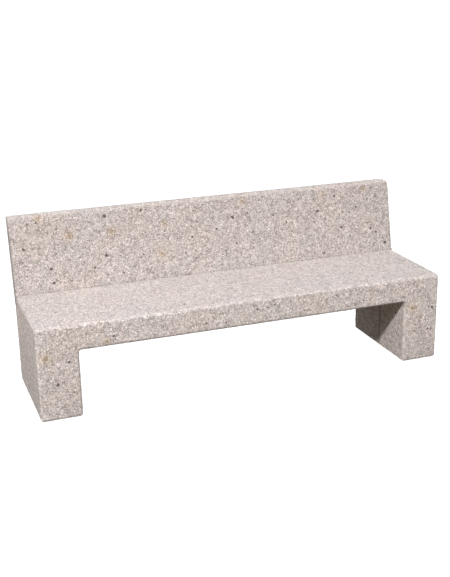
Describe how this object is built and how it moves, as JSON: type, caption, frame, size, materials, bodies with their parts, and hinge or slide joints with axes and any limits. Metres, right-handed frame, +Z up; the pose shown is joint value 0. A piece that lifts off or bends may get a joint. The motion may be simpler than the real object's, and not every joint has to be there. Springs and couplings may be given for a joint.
{
  "type": "concrete bench with a back",
  "caption": "Long precast concrete seat slab on two block legs, with a low leaning slab back, in pale speckled exposed aggregate.",
  "frame": {"origin": "on the ground under the middle of the bench's overall box", "axes": "+Z up, +X along the seat towards the sitter's left hand, -Y the way the sitter faces"},
  "size_m": [2, 0.6092, 0.81],
  "materials": {
    "concrete": "pale pinkish grey exposed-aggregate concrete, lightly blasted, with black and ochre stones",
    "concrete_seat": "the same concrete, rubbed smoother and lighter on the seat",
    "mortar": "grey bedding mortar, recessed joint",
    "grout": "dark non-shrink grout",
    "bar_steel": "ribbed reinforcing steel with light mill rust",
    "dowel_steel": "drawn stainless steel",
    "zinc_steel": "zinc plated"
  },
  "bodies": {
    "root": {"seat_slab": "concrete_seat", "left_leg": "concrete", "right_leg": "concrete", "backrest_slab": "concrete", "left_leg_mortar": "mortar", "right_leg_mortar": "mortar", "backrest_mortar": "mortar", "left_leg_dowels": "dowel_steel", "right_leg_dowels": "dowel_steel", "backrest_dowels": "dowel_steel", "left_dowel_grout": "grout", "right_dowel_grout": "grout", "backrest_dowel_grout": "grout", "seat_lower_bars": "bar_steel", "seat_upper_bars": "bar_steel", "seat_stirrups": "bar_steel", "backrest_long_bars": "bar_steel", "backrest_upright_bars": "bar_steel", "left_leg_bars": "bar_steel", "right_leg_bars": "bar_steel", "left_leg_ties": "bar_steel", "right_leg_ties": "bar_steel", "left_fixing_sockets": "zinc_steel", "right_fixing_sockets": "zinc_steel", "left_socket_pins": "bar_steel", "right_socket_pins": "bar_steel"}
  },
  "joints": []
}
